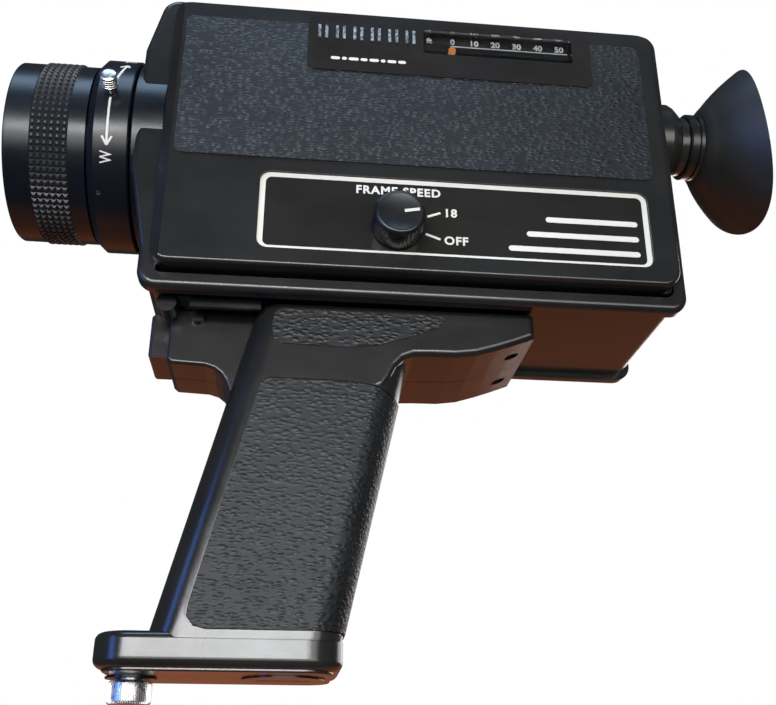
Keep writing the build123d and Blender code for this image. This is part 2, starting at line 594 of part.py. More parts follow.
with BuildPart() as grip_solid:
    add(column(0, GRIP_TOP_Z, FOOT_Z - 1.6))
    # rear wing under the body, narrower trigger housing in front
    add(soft_block(WING, GRIP_HALF, 1.6))
    add(soft_block(HOUSING, HOUSING_HALF, 0.9))
    # foot reaching forward at the bottom
    with BuildPart(mode=Mode.PRIVATE) as foot:
        with BuildSketch(Plane.XY.offset(GRIP_BASE_Z)):
            with Locations((0, FOOT_Y)):
                RectangleRounded(2 * GRIP_HALF, FOOT_LENGTH, 9.0)
        extrude(amount=FOOT_Z - GRIP_BASE_Z)
        fillet(foot.faces().sort_by(Axis.Z)[0].edges(), 2.2)
        fillet(foot.faces().sort_by(Axis.Z)[-1].edges(), 1.8)
    add(foot.part)
    # pockets: trigger, battery tube, seats for the leather
    add(box(-8.2, 8.2, 8.0, 11.4, -67.6, -54.0), mode=Mode.SUBTRACT)
    add(box(-6.4, 6.4, 8.0, 26.0, -66.0, -57.2), mode=Mode.SUBTRACT)
    add(rod_z(0, CELL[0], CELL[1], GRIP_BASE_Z, -90.0), mode=Mode.SUBTRACT)
    add(rod_z(0, STRAP_Y, 3.4, GRIP_BASE_Z, -140.4), mode=Mode.SUBTRACT)
    for side in (1, -1):
        add(rod_z(9.3 * side, 101.8, 1.2, -70.0, GRIP_TOP_Z), mode=Mode.SUBTRACT)
        add(rod_z(9.3 * side, 101.8, 2.0, -70.0, -60.6), mode=Mode.SUBTRACT)
        add(rod_x(*PIVOT, 1.0, min(7.4 * side, 12 * side), max(7.4 * side, 12 * side)), mode=Mode.SUBTRACT)


def pad(side, x0, x1, gap=0.0):
    # leather piece lying round the grip column inside its side outline, or the seat for it with a gap all round
    with BuildPart() as trim:
        with BuildSketch(Plane.YZ.offset(x0 * side)):
            with BuildLine():
                Polyline(*PAD, close=True)
            make_face()
            if gap:
                offset(amount=gap)
        extrude(amount=(x1 - x0) * side)
    with BuildPart() as bp:
        add(column(0.4 + gap, -60.0, -142.0))
        add(column(-0.5, -59.0, -143.0), mode=Mode.SUBTRACT)
        add(trim.part, mode=Mode.INTERSECT)
    return bp.part


def saddle(side):
    return prism(SADDLE, 18.5, 19.4) if side > 0 else prism(SADDLE, -19.4, -18.5)


with BuildPart() as side_pads:
    for side in (1, -1):
        add(pad(side, 3.0, 30.0))
save(side_pads, "side_pads")

with BuildPart() as saddle_leather:
    for side in (1, -1):
        add(saddle(side))
save(saddle_leather, "saddle_leather")

for side, tag in ((1, "left"), (-1, "right")):
    with BuildPart() as grip_half:
        add(grip_solid.part)
        # a hairline seam is left between the two halves
        add(box(-60, SEAM, -30, 130, -160, -40) if side > 0 else box(-SEAM, 60, -30, 130, -160, -40), mode=Mode.SUBTRACT)
        add(pad(side, 3.0, 30.0, 0.45), mode=Mode.SUBTRACT)
        add(saddle(side), mode=Mode.SUBTRACT)
    save(grip_half, "grip_" + tag)

with BuildPart() as grip_screws:
    for side in (1, -1):
        add(rod_z(9.3 * side, 101.8, 1.9, -62.0, -60.6))
        add(rod_z(9.3 * side, 101.8, 1.15, -60.6, -53.7))
        add(box(9.3 * side - 1.5, 9.3 * side + 1.5, 101.5, 102.1, -62.6, -61.5), mode=Mode.SUBTRACT)
save(grip_screws, "grip_screws")

# steel bracket between body and grip: plate, side rails, rolled front ends
with BuildPart() as grip_bracket:
    add(box(-19.6, 19.6, 12.0, 32.8, -54.5, -53.7))
    for side in (1, -1):
        x0 = min(18.2 * side, 19.6 * side)
        add(box(x0, x0 + 1.4, 14.2, 32.8, -57.2, -54.5))
        x1 = min(14.0 * side, 19.6 * side)
        add(rod_x(8.2, -56.3, 2.6, x1, x1 + 5.6))
        add(box(x1, x1 + 5.6, 8.2, 13.0, -54.5, -53.7))
save(grip_bracket, "grip_bracket")

with BuildPart() as pivot_screws:
    for side in (1, -1):
        add(rod_x(*PIVOT, 1.9, min(11.35 * side, 13.4 * side), max(11.35 * side, 13.4 * side)))
        add(rod_x(*PIVOT, 0.95, min(7.6 * side, 11.4 * side), max(7.6 * side, 11.4 * side)))
save(pivot_screws, "pivot_screws")

with BuildPart() as trigger:
    with BuildSketch(Plane.YZ):
        with BuildLine():
            Polyline((3.1, -54.9), (8.4, -54.9), (8.4, -67.3), (3.1, -67.3), close=True)
        make_face()
    extrude(amount=TRIGGER_HALF, both=True)
    fillet(trigger.faces().sort_by(Axis.Y)[0].edges(), 1.0)
    add(box(-6.1, 6.1, 8.4, 12.4, -65.7, -57.5))
save(trigger, "trigger")

with BuildPart() as trigger_spring:
    with BuildLine() as coil:
        Helix(pitch=1.2, height=6.6, radius=2.2, center=(0, 12.8, -61.6), direction=(0, 1, 0))
    with BuildSketch(Plane(origin=coil.line @ 0, z_dir=coil.line % 0)):
        Circle(0.3)
    sweep(is_frenet=True)
save(trigger_spring, "trigger_spring")

with BuildPart() as trigger_switch:
    add(box(-6.4, 6.4, 19.9, 26.0, -66.0, -57.2))
save(trigger_switch, "trigger_switch")

with BuildPart() as base_plate:
    with BuildSketch(Plane.XY.offset(BASE_Z)):
        with Locations((0, FOOT_Y)):
            RectangleRounded(2 * GRIP_HALF - 4.4, FOOT_LENGTH - 4.4, 6.8)
    extrude(amount=GRIP_BASE_Z - BASE_Z)
    fillet(base_plate.faces().sort_by(Axis.Z)[0].edges(), 0.4)
    add(rod_z(0, CELL[0], 10.3, BASE_Z - 1, GRIP_BASE_Z), mode=Mode.SUBTRACT)
    add(rod_z(0, STRAP_Y, 3.3, BASE_Z - 1, GRIP_BASE_Z + 1), mode=Mode.SUBTRACT)
save(base_plate, "base_plate")

with BuildPart() as battery_cap:
    add(rod_z(0, CELL[0], 10.2, BASE_Z - 0.4, GRIP_BASE_Z - 0.2))
    add(rod_z(0, CELL[0], 8.2, GRIP_BASE_Z - 0.2, -141.6))
    add(box(-0.8, 0.8, CELL[0] - 6.6, CELL[0] + 6.6, BASE_Z - 1, BASE_Z + 0.8), mode=Mode.SUBTRACT)
save(battery_cap, "battery_cap")

with BuildPart() as battery_contact:
    add(rod_z(0, CELL[0], CELL[1], -91.0, -90.0))
    add(rod_z(0, CELL[0], 3.0, -92.0, -91.0))
save(battery_contact, "battery_contact")

with BuildPart() as strap_washer:
    add(rod_z(0, STRAP_Y, 6.2, BASE_Z - 0.5, BASE_Z))
    add(rod_z(0, STRAP_Y, 3.3, BASE_Z - 1, BASE_Z + 1), mode=Mode.SUBTRACT)
save(strap_washer, "strap_washer")

# knurled strap screw with a tripod thread in its own head
with BuildPart() as strap_screw:
    add(rod_z(0, STRAP_Y, 5.25, STRAP_Z, BASE_Z - 0.7))
    chamfer(strap_screw.faces().sort_by(Axis.Z)[0].edges(), 0.7)
    add(rod_z(0, STRAP_Y, 3.2, BASE_Z - 0.8, -141.2))
    add(rod_z(0, STRAP_Y, 3.175, STRAP_Z - 1, BASE_Z - 1.2), mode=Mode.SUBTRACT)
save(strap_screw, "strap_screw")
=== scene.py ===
import bpy
import bmesh
import json
import math
from mathutils import Matrix, Vector


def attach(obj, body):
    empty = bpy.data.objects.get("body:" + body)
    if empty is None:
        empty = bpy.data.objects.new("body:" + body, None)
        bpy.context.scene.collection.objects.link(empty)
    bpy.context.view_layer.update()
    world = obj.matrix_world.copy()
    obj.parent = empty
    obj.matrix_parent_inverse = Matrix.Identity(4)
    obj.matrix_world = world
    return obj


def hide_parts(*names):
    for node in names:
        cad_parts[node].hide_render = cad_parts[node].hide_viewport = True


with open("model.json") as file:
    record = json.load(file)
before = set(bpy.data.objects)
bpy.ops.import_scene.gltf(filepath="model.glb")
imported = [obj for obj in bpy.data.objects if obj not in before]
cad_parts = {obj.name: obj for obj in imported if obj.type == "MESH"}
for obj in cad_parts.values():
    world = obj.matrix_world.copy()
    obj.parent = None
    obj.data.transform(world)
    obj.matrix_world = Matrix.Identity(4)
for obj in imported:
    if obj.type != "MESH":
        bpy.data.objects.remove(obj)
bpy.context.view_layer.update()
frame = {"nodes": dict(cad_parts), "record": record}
record = frame["record"]
SLOT_OF = {s["node"]: s["material_slot"] for s in record["subparts"]}
BODY_OF = {n: b for b, ns in record["behaviour"]["bodies"].items() for n in ns}
MOUNT = {m["name"]: Vector(m["pos_m"]) for m in record["mounts"]}

# Pieces are described in millimetres from a point on the lens axis, which lies this far behind the
# filter thread's mount. +X is the side with the speed knob, -Y is the way the lens looks and +Z is up.
FILTER_MOUNT_AHEAD = 37.8
SHIFT = MOUNT["filter_thread"] * 1000 + Vector((0.0, FILTER_MOUNT_AHEAD, 0.0))

# ---- rubber band of the focus ring ----
BAND_Y = (-32.6, -22.3)
BAND_INSIDE_R = 25.0
BAND_FLOOR_R = 25.85
BAND_TOP_R = 26.5
BAND_COLUMNS = 6
BAND_AROUND = 88
STUD_FOOT = 0.34

# ---- zoom ring ----
ZOOM_R = 28.3
ZOOM_MARK_Y = -11.4
LEVER_LEAN = 7.0
GRUB_SCREW_TURN = -53.5
GRUB_SCREW_Y = -13.8

# ---- thread inside the front of the lens ----
THREAD_R = 24.46
THREAD_CREST_R = 24.2
THREAD_BACK_R = 24.49
THREAD_PITCH = 0.36
THREAD_TURNS = 7
THREAD_Y = (-39.1, -36.5)

# ---- faces that carry print, measured along X ----
PANEL_FACE = 31.6
PLATE_FACE = 33.2
SCALE_FACE = 30.0
KNOB_FACE = 39.8

# ---- control panel ----
FRAME_Y = (31.1, 136.4)
FRAME_Z = (-45.5, -22.4)
FRAME_SIDE = 1.5
FRAME_TOP = 1.35
FRAME_BOTTOM = 1.0
FRAME_CORNER = 2.8
BAR_STARTS = ((108.6, -32.2), (103.2, -36.9), (98.1, -41.5))
BAR_END = 132.4
BAR_WIDTH = 1.6
WORD_HEIGHT = 2.45
WORD_BOLD = 0.11

# ---- name plate and footage scale ----
DASHES = (2.1, 0.9, 2.4, 1.5, 2.2, 0.9, 2.1, 1.7)
DASH_START = 48.6
DASH_Z = 15.9
SCALE_ZERO_Y = 83.9
SCALE_STEP = 6.34
SCALE_BASE_Z = 25.95

# ---- speed knob, eyecup and strap screw ----
KNOB_AT = Vector((67.6, -37.2))
KNOB_TURN = 11.0
KNOB_FLUTES = 48
EYE_Z = 17.4
CUP_ROOT_Y = 167.6
CUP_SEAT_Y = 170.8
CUP_RIM_Y = 183.6
CUP_RIM_X = 25.4
CUP_RIM_Z = 26.5
SCREW_AT = (0, 6.3, -154.8)
SCREW_KNURLS = 56


def local(x, y, z):
    return Vector((x, y, z)) + SHIFT


def at(x, y, z):
    return local(x, y, z) / 1000


# ---------------------------------------------------------------- camera and stage

CAMERA_AT = (255.379, 43.145, -170.619)
CAMERA_YAW = 0.0989107
CAMERA_PITCH = -0.4088454
CAMERA_ROLL = -0.0049526
CAMERA_LENS_MM = 45.709284

STAGE_CENTRE = (0.0, 0.07, 0.11)
FLOOR_Z = -0.9
FLOOR_HALF = 4.0


def turned(angle, axis):
    return Matrix.Rotation(angle, 3, axis)


def aim_camera():
    level = Matrix(((0, 1, 0), (0, 0, 1), (1, 0, 0)))
    view = turned(CAMERA_ROLL, "Z") @ turned(CAMERA_PITCH, "X") @ turned(CAMERA_YAW, "Y") @ level
    data = bpy.data.cameras.new("camera")
    data.sensor_width = 36.0
    data.lens = CAMERA_LENS_MM
    data.clip_start = 0.01
    data.clip_end = 20.0
    cam = bpy.data.objects.new("camera", data)
    bpy.context.collection.objects.link(cam)
    cam.matrix_world = Matrix.Translation(at(*CAMERA_AT)) @ view.transposed().to_4x4()
    bpy.context.scene.camera = cam


def area_light(name, place, size, power, colour, target=STAGE_CENTRE):
    data = bpy.data.lights.new(name, "AREA")
    data.shape = "RECTANGLE"
    data.size, data.size_y = size
    data.energy = power
    data.color = colour
    lamp = bpy.data.objects.new(name, data)
    bpy.context.collection.objects.link(lamp)
    lamp.location = place
    lamp.rotation_mode = "QUATERNION"
    lamp.rotation_quaternion = (Vector(target) - Vector(place)).to_track_quat("-Z", "Y")
    return lamp


def build_backdrop():
    # white where the camera looks past the object, and a dim cool fill on the object itself
    world = bpy.data.worlds.new("studio")
    bpy.context.scene.world = world
    world.use_nodes = True
    nt = world.node_tree
    nt.nodes.clear()
    out = nt.nodes.new("ShaderNodeOutputWorld")
    seen = nt.nodes.new("ShaderNodeBackground")
    seen.inputs[0].default_value = (1.0, 1.0, 1.0, 1)
    seen.inputs[1].default_value = 1.0
    lit = nt.nodes.new("ShaderNodeBackground")
    lit.inputs[0].default_value = (0.86, 0.92, 1.0, 1)
    lit.inputs[1].default_value = 0.055
    path = nt.nodes.new("ShaderNodeLightPath")
    mix = nt.nodes.new("ShaderNodeMixShader")
    nt.links.new(path.outputs["Is Camera Ray"], mix.inputs[0])
    nt.links.new(lit.outputs[0], mix.inputs[1])
    nt.links.new(seen.outputs[0], mix.inputs[2])
    nt.links.new(mix.outputs[0], out.inputs[0])


def build_floor():
    bm = bmesh.new()
    bmesh.ops.create_grid(bm, x_segments=8, y_segments=8, size=FLOOR_HALF)
    mesh = bpy.data.meshes.new("floor")
    bm.to_mesh(mesh)
    bm.free()
    floor = bpy.data.objects.new("floor", mesh)
    floor.location = (0, 0, FLOOR_Z)
    bpy.context.collection.objects.link(floor)
    paper, _, _ = shader("floor_paper", (0.78, 0.70, 0.60), 0.9)
    floor.data.materials.append(paper)
    floor.visible_diffuse = False
    floor.visible_glossy = False


def build_lights():
    area_light("window_above", (0.62, -0.05, 1.45), (1.1, 0.5), 12.5, (0.50, 0.72, 1.0))
    area_light("room_front", (1.35, 0.10, 0.0), (1.7, 0.62), 15, (1.0, 0.98, 0.94))
    area_light("bright_strip", (1.30, -0.15, 0.19), (1.0, 0.14), 12.0, (0.96, 0.98, 1.0))
    area_light("blue_side", (0.72, -1.10, 0.10), (0.35, 1.1), 7.0, (0.10, 0.30, 1.0))
    area_light("warm_below", (-0.75, 0.15, -0.55), (1.7, 1.5), 3.2, (1.0, 0.26, 0.06))
    area_light("behind", (-1.05, 1.05, 0.42), (1.2, 0.8), 9, (1.0, 0.97, 0.94))
    # this one hangs below the object and lights only the floor
    wash = area_light("floor_wash", (0.0, 0.0, -0.2), (8.0, 8.0), 135, (1.0, 0.99, 0.97), (0.0, 0.0, -1.0))
    wash.visible_camera = False


def build_stage():
    build_backdrop()
    build_floor()
    build_lights()
    bpy.context.scene.view_settings.view_transform = "Standard"
    bpy.context.scene.view_settings.look = "None"


# ---------------------------------------------------------------- materials

def shader(name, colour, rough, metallic=0.0, coat=0.0, coat_rough=0.1):
    m = bpy.data.materials.new(name)
    m.use_nodes = True
    nt = m.node_tree
    b = nt.nodes["Principled BSDF"]
    b.inputs["Base Color"].default_value = (*colour, 1)
    b.inputs["Roughness"].default_value = rough
    b.inputs["Metallic"].default_value = metallic
    b.inputs["Coat Weight"].default_value = coat
    b.inputs["Coat Roughness"].default_value = coat_rough
    return m, nt, b


def noise_tex(nt, scale, detail=4.0, rough=0.55, stretch=(1, 1, 1)):
    co = nt.nodes.new("ShaderNodeTexCoord")
    mp = nt.nodes.new("ShaderNodeMapping")
    mp.inputs["Scale"].default_value = stretch
    nt.links.new(co.outputs["Object"], mp.inputs[0])
    tex = nt.nodes.new("ShaderNodeTexNoise")
    tex.inputs["Scale"].default_value = scale
    tex.inputs["Detail"].default_value = detail
    tex.inputs["Roughness"].default_value = rough
    nt.links.new(mp.outputs[0], tex.inputs["Vector"])
    return tex


def two_tones(nt, source, low, dark, high, light):
    r = nt.nodes.new("ShaderNodeValToRGB")
    for stop, place, colour in zip(r.color_ramp.elements, (low, high), (dark, light)):
        stop.position = place
        stop.color = (*colour, 1)
    nt.links.new(source, r.inputs[0])
    return r.outputs[0]


def rescale(nt, source, lo, hi, out_lo, out_hi):
    r = nt.nodes.new("ShaderNodeMapRange")
    for k, v in zip(("From Min", "From Max", "To Min", "To Max"), (lo, hi, out_lo, out_hi)):
        r.inputs[k].default_value = v
    nt.links.new(source, r.inputs[0])
    return r.outputs[0]


def bump(nt, b, source, strength, distance, below=None):
    n = nt.nodes.new("ShaderNodeBump")
    n.inputs["Strength"].default_value = strength
    n.inputs["Distance"].default_value = distance
    nt.links.new(source, n.inputs["Height"])
    if below is not None:
        nt.links.new(below.outputs[0], n.inputs["Normal"])
    nt.links.new(n.outputs[0], b.inputs["Normal"])
    return n


def moulded(name, dark, light, rough, spread, grain=0.25, sheen=0.5):
    # moulded plastic or paint: slow colour drift, handling marks in the gloss, a fine surface grain
    m, nt, b = shader(name, dark, rough)
    b.inputs["Specular IOR Level"].default_value = sheen
    slow = noise_tex(nt, 28.0, 3.0)
    nt.links.new(two_tones(nt, slow.outputs[0], 0.35, dark, 0.72, light), b.inputs["Base Color"])
    smear = noise_tex(nt, 95.0, 5.0, 0.6, (1, 0.45, 1))
    gloss = rescale(nt, smear.outputs[0], 0.32, 0.72, rough - spread, rough + spread)
    nt.links.new(gloss, b.inputs["Roughness"])
    fine = noise_tex(nt, 3800.0, 2.0)
    bump(nt, b, fine.outputs[0], grain, 0.00004)
    return m


def leather(name, dark, light, rough, cell, lean, depth):
    # pebbles about cell metres apart, drawn out along a direction leaning by lean degrees in the YZ plane
    m, nt, b = shader(name, dark, rough)
    co = nt.nodes.new("ShaderNodeTexCoord")
    warp = nt.nodes.new("ShaderNodeTexNoise")
    warp.inputs["Scale"].default_value = 420.0
    warp.inputs["Detail"].default_value = 2.0
    nt.links.new(co.outputs["Object"], warp.inputs["Vector"])
    push = nt.nodes.new("ShaderNodeVectorMath")
    push.operation = "MULTIPLY_ADD"
    push.inputs[1].default_value = (0.0009, 0.0009, 0.0009)
    nt.links.new(warp.outputs["Color"], push.inputs[0])
    nt.links.new(co.outputs["Object"], push.inputs[2])
    turn = nt.nodes.new("ShaderNodeMapping")
    turn.inputs["Rotation"].default_value = (math.radians(lean), 0, 0)
    turn.inputs["Scale"].default_value = (1.0, 0.55, 1.1)
    nt.links.new(push.outputs[0], turn.inputs[0])
    pebble = nt.nodes.new("ShaderNodeTexVoronoi")
    pebble.feature = "SMOOTH_F1"
    pebble.inputs["Scale"].default_value = 1 / cell
    pebble.inputs["Smoothness"].default_value = 0.25
    nt.links.new(turn.outputs[0], pebble.inputs["Vector"])
    dome = rescale(nt, pebble.outputs["Distance"], 0.12, 0.62, 1.0, 0.0)
    slow = noise_tex(nt, 60.0, 4.0)
    nt.links.new(two_tones(nt, slow.outputs[0], 0.3, dark, 0.75, light), b.inputs["Base Color"])
    nt.links.new(rescale(nt, dome, 0.0, 1.0, rough + 0.10, rough - 0.04), b.inputs["Roughness"])
    b.inputs["Specular IOR Level"].default_value = 0.27
    fine = noise_tex(nt, 2400.0, 3.0)
    first = bump(nt, b, fine.outputs[0], 0.4, 0.00005)
    bump(nt, b, dome, 1.0, depth, first)
    return m


def metal(name, colour, rough):
    m, nt, b = shader(name, colour, rough, 1.0)
    t = noise_tex(nt, 900.0, 3.0, 0.6)
    gloss = rescale(nt, t.outputs[0], 0.3, 0.7, max(0.04, rough - 0.09), rough + 0.14)
    nt.links.new(gloss, b.inputs["Roughness"])
    slow = noise_tex(nt, 70.0, 3.0)
    low = tuple(c * 0.78 for c in colour)
    nt.links.new(two_tones(nt, slow.outputs[0], 0.35, low, 0.65, colour), b.inputs["Base Color"])
    bump(nt, b, t.outputs[0], 0.15, 0.00003)
    return m


def glass(name, tint, rough, coat, sheen):
    m, nt, b = shader(name, tint, rough, 0.0, coat, 0.03)
    b.inputs["Transmission Weight"].default_value = 1.0
    b.inputs["Specular IOR Level"].default_value = sheen
    b.inputs["IOR"].default_value = 1.5
    t = noise_tex(nt, 220.0, 2.0)
    nt.links.new(rescale(nt, t.outputs[0], 0.3, 0.7, rough, rough + 0.03), b.inputs["Roughness"])
    return m


def build_materials():
    # each slot's maker, and then what it is called with after the slot's name
    recipes = {
        "body_plastic": (moulded, (0.0105, 0.0102, 0.0098), (0.0180, 0.0174, 0.0164), 0.235, 0.03, 0.16),
        "leatherette": (leather, (0.0070, 0.0076, 0.0086), (0.0130, 0.0138, 0.0150), 0.37,
                        0.00105, -24.0, 0.000135),
        "panel_plastic": (moulded, (0.0125, 0.0110, 0.0096), (0.0185, 0.0165, 0.0144), 0.20, 0.05, 0.06),
        "mark_paint": (moulded, (0.56, 0.54, 0.48), (0.66, 0.64, 0.58), 0.5, 0.08, 0.2),
        "chrome": (metal, (0.72, 0.71, 0.70), 0.27),
        "clear": (glass, (0.90, 0.93, 0.98), 0.01, 0.15, 0.3),
        "orange_plastic": (moulded, (0.62, 0.17, 0.02), (0.80, 0.26, 0.04), 0.45, 0.06),
        "gloss_black": (moulded, (0.0060, 0.0060, 0.0062), (0.0100, 0.0100, 0.0100), 0.30, 0.06, 0.12),
        "dark_plastic": (moulded, (0.020, 0.020, 0.020), (0.032, 0.031, 0.030), 0.55, 0.08),
        "steel": (metal, (0.52, 0.52, 0.51), 0.34),
        "lens_paint": (moulded, (0.0035, 0.0046, 0.0072), (0.0062, 0.0078, 0.0115), 0.29, 0.05, 0.22, 0.34),
        "rubber": (moulded, (0.0100, 0.0108, 0.0120), (0.0170, 0.0180, 0.0195), 0.50, 0.08, 0.4),
        "glass": (glass, (0.75, 0.78, 0.92), 0.02, 0.6, 0.5),
        "dark_metal": (moulded, (0.0065, 0.0065, 0.0065), (0.0120, 0.0120, 0.0120), 0.27, 0.06, 0.15),
        "brass": (metal, (0.68, 0.50, 0.22), 0.3),
        "white_gear": (moulded, (0.72, 0.70, 0.64), (0.82, 0.80, 0.75), 0.45, 0.06),
    }
    return {name: make(name, *values) for name, (make, *values) in recipes.items()}


MATS = build_materials()
for node, obj in frame["nodes"].items():
    obj.data.materials.clear()
    obj.data.materials.append(MATS[SLOT_OF[node]])


# ---------------------------------------------------------------- mesh helpers

def finish_mesh(bm, name, material, body, replaced=(), sharp=35.0):
    bmesh.ops.recalc_face_normals(bm, faces=bm.faces)
    mesh = bpy.data.meshes.new(name)
    bm.to_mesh(mesh)
    bm.free()
    mesh.polygons.foreach_set("use_smooth", [True] * len(mesh.polygons))
    mesh.set_sharp_from_angle(angle=math.radians(sharp))
    obj = bpy.data.objects.new(name, mesh)
    bpy.context.collection.objects.link(obj)
    mesh.materials.append(MATS[material])
    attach(obj, body)
    if replaced:
        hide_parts(*replaced)


def basis(origin, axis, zero):
    # an origin, two directions across the axis and the axis itself; zero is made square to the axis
    a = Vector(axis).normalized()
    x = (Vector(zero) - a * Vector(zero).dot(a)).normalized()
    return Vector(origin), x, a.cross(x), a


def join_rings(bm, lo, hi):
    count = len(lo)
    for k in range(count):
        bm.faces.new((lo[k], lo[(k + 1) % count], hi[(k + 1) % count], hi[k]))


def lathe(bm, profile, placed, steps, radius_at=None, closed=True):
    # turns (radius, along) points about the axis; radius_at(radius, along, step) may flute the wall
    origin, x, y, a = placed
    rings = []
    for r, h in profile:
        ring = []
        for k in range(steps):
            t = 2 * math.pi * k / steps
            q = radius_at(r, h, k) if radius_at else r
            ring.append(bm.verts.new((origin + x * q * math.cos(t) + y * q * math.sin(t) + a * h) / 1000))
        rings.append(ring)
    for lo, hi in zip(rings, rings[1:]):
        join_rings(bm, lo, hi)
    if closed:
        join_rings(bm, rings[-1], rings[0])
    else:
        bm.faces.new(list(reversed(rings[0])))
        bm.faces.new(rings[-1])


def thicken(bm, faces, place, top, depth):
    # flat outline faces become thin raised marks; place maps (u, v, height) in mm to the frame
    low = bmesh.ops.extrude_face_region(bm, geom=faces)
    for g in low["geom"]:
        if isinstance(g, bmesh.types.BMVert):
            g.co.z -= depth
    for v in bm.verts:
        v.co = place(v.co.x, v.co.y, v.co.z + top) / 1000


def stroke(bm, p0, p1, width, cuts=1, rounded=False):
    # a flat line of some width, cut into lengths so that it can bend, with half-round ends if wanted
    p0, p1 = Vector(p0), Vector(p1)
    d = (p1 - p0).normalized()
    n = Vector((-d.y, d.x))
    half = width / 2
    pairs = []
    for k in range(cuts + 1):
        p = p0.lerp(p1, k / cuts)
        pairs.append([bm.verts.new((*(p + n * half * s), 0)) for s in (1, -1)])
    faces = [bm.faces.new((a[0], a[1], b[1], b[0])) for a, b in zip(pairs, pairs[1:])]
    if rounded:
        for p, way, pair in ((p0, -1, pairs[0]), (p1, 1, pairs[-1])):
            arc = []
            for k in range(1, 8):
                t = math.pi * k / 8
                arc.append(bm.verts.new((*(p + n * half * math.cos(t) + d * way * half * math.sin(t)), 0)))
            loop = [pair[0], *arc, pair[1]]
            faces.append(bm.faces.new(loop if way > 0 else list(reversed(loop))))
    return faces


def lettering(bm, text, height, start, bold, spacing=1.0, align="LEFT", squeeze=1.0):
    curve = bpy.data.curves.new("lettering", "FONT")
    curve.body = text
    curve.size = height / 0.72
    curve.offset = bold
    curve.space_character = spacing
    curve.align_x = align
    curve.resolution_u = 3
    holder = bpy.data.objects.new("lettering", curve)
    bpy.context.collection.objects.link(holder)
    bpy.context.view_layer.update()
    seen = holder.evaluated_get(bpy.context.evaluated_depsgraph_get())
    mesh = bpy.data.meshes.new_from_object(seen)
    old = set(bm.faces)
    for v in mesh.vertices:
        v.co.x = v.co.x * squeeze + start[0]
        v.co.y += start[1]
    bm.from_mesh(mesh)
    bpy.data.objects.remove(holder)
    bpy.data.curves.remove(curve)
    bpy.data.meshes.remove(mesh)
    return [f for f in bm.faces if f not in old]


def on_side(x):
    # (u, v) is (y, z) on the plane at this x
    return lambda u, v, h: local(x + h, u, v)


def on_drum(radius, y0):
    # (u, v) laid round a drum about the lens axis: u goes up the side facing +X, v goes towards the front
    def place(u, v, h):
        t = u / radius
        return local((radius + h) * math.cos(t), y0 - v, (radius + h) * math.sin(t))
    return place


# ---------------------------------------------------------------- lens details

def rubber_band():
    # a square-cut pyramid on each cell of a grid round the band
    bm = bmesh.new()
    y0, y1 = BAND_Y
    step = (y1 - y0) / BAND_COLUMNS

    def ring_point(y, k, r):
        t = 2 * math.pi * k / BAND_AROUND
        return bm.verts.new(local(r * math.cos(t), y, r * math.sin(t)) / 1000)

    def ring(y, r):
        return [ring_point(y, k, r) for k in range(BAND_AROUND)]

    grid = [ring(y0 + step * i, BAND_FLOOR_R) for i in range(BAND_COLUMNS + 1)]
    near, far = STUD_FOOT, 1 - STUD_FOOT
    for i in range(BAND_COLUMNS):
        for k in range(BAND_AROUND):
            after = (k + 1) % BAND_AROUND
            corners = (grid[i][k], grid[i + 1][k], grid[i + 1][after], grid[i][after])
            top = []
            for a, b in ((near, near), (far, near), (far, far), (near, far)):
                top.append(ring_point(y0 + step * (i + a), k + b, BAND_TOP_R))
            for j in range(4):
                bm.faces.new((corners[j], corners[(j + 1) % 4], top[(j + 1) % 4], top[j]))
            bm.faces.new(top)
    for edge, y in ((grid[0], y0), (grid[-1], y1)):
        join_rings(bm, edge, ring(y, BAND_INSIDE_R))
    finish_mesh(bm, "rubber_band", "rubber", "focus", ["focus_grip"], sharp=20.0)


def zoom_stud():
    # grooved metal stud that the zoom ring is turned by
    lean = math.radians(LEVER_LEAN)
    bm = bmesh.new()
    profile = [(1.4, 24.2), (1.4, 28.4), (1.75, 28.4), (1.75, 30.3), (2.0, 30.4)]
    for k in range(4):
        base = 30.6 + 0.8 * k
        profile += [(2.3, base), (2.3, base + 0.35), (1.98, base + 0.5), (1.98, base + 0.65)]
    profile += [(2.3, 33.8), (2.25, 34.15), (1.9, 34.4), (1.0, 34.5)]
    placed = basis(local(0, ZOOM_MARK_Y, 0), (math.cos(lean), 0, math.sin(lean)), (0, 1, 0))
    lathe(bm, profile, placed, 36, closed=False)
    finish_mesh(bm, "zoom_stud", "chrome", "zoom", ["zoom_lever"])


def zoom_marks():
    # arrows either side of the stud, towards W below and T above
    bm = bmesh.new()

    def arc(degrees):
        return math.radians(degrees) * ZOOM_R

    tip = arc(-26)
    faces = stroke(bm, (arc(2.0), -0.1), (tip, -0.1), 0.62, 14)
    for s in (1, -1):
        faces += stroke(bm, (tip - 0.2, -0.1), (tip + 2.2, -0.1 + s * 1.35), 0.6, 3)
    faces += stroke(bm, (arc(13), -0.4), (arc(34), -2.6), 0.7, 10)
    for s, w in ((1, 1.9), (-1, 0.6)):
        faces += stroke(bm, (arc(34.4), -2.7), (arc(31), -2.7 + s * w), 0.7, 3)
    faces += lettering(bm, "W", 3.3, (arc(-36.6), -1.5), 0.05, squeeze=0.72)
    faces += lettering(bm, "T", 3.3, (arc(42.0), -4.4), 0.05, squeeze=0.9)
    thicken(bm, faces, on_drum(ZOOM_R, ZOOM_MARK_Y), 0.045, 0.09)
    finish_mesh(bm, "zoom_marks", "mark_paint", "zoom")


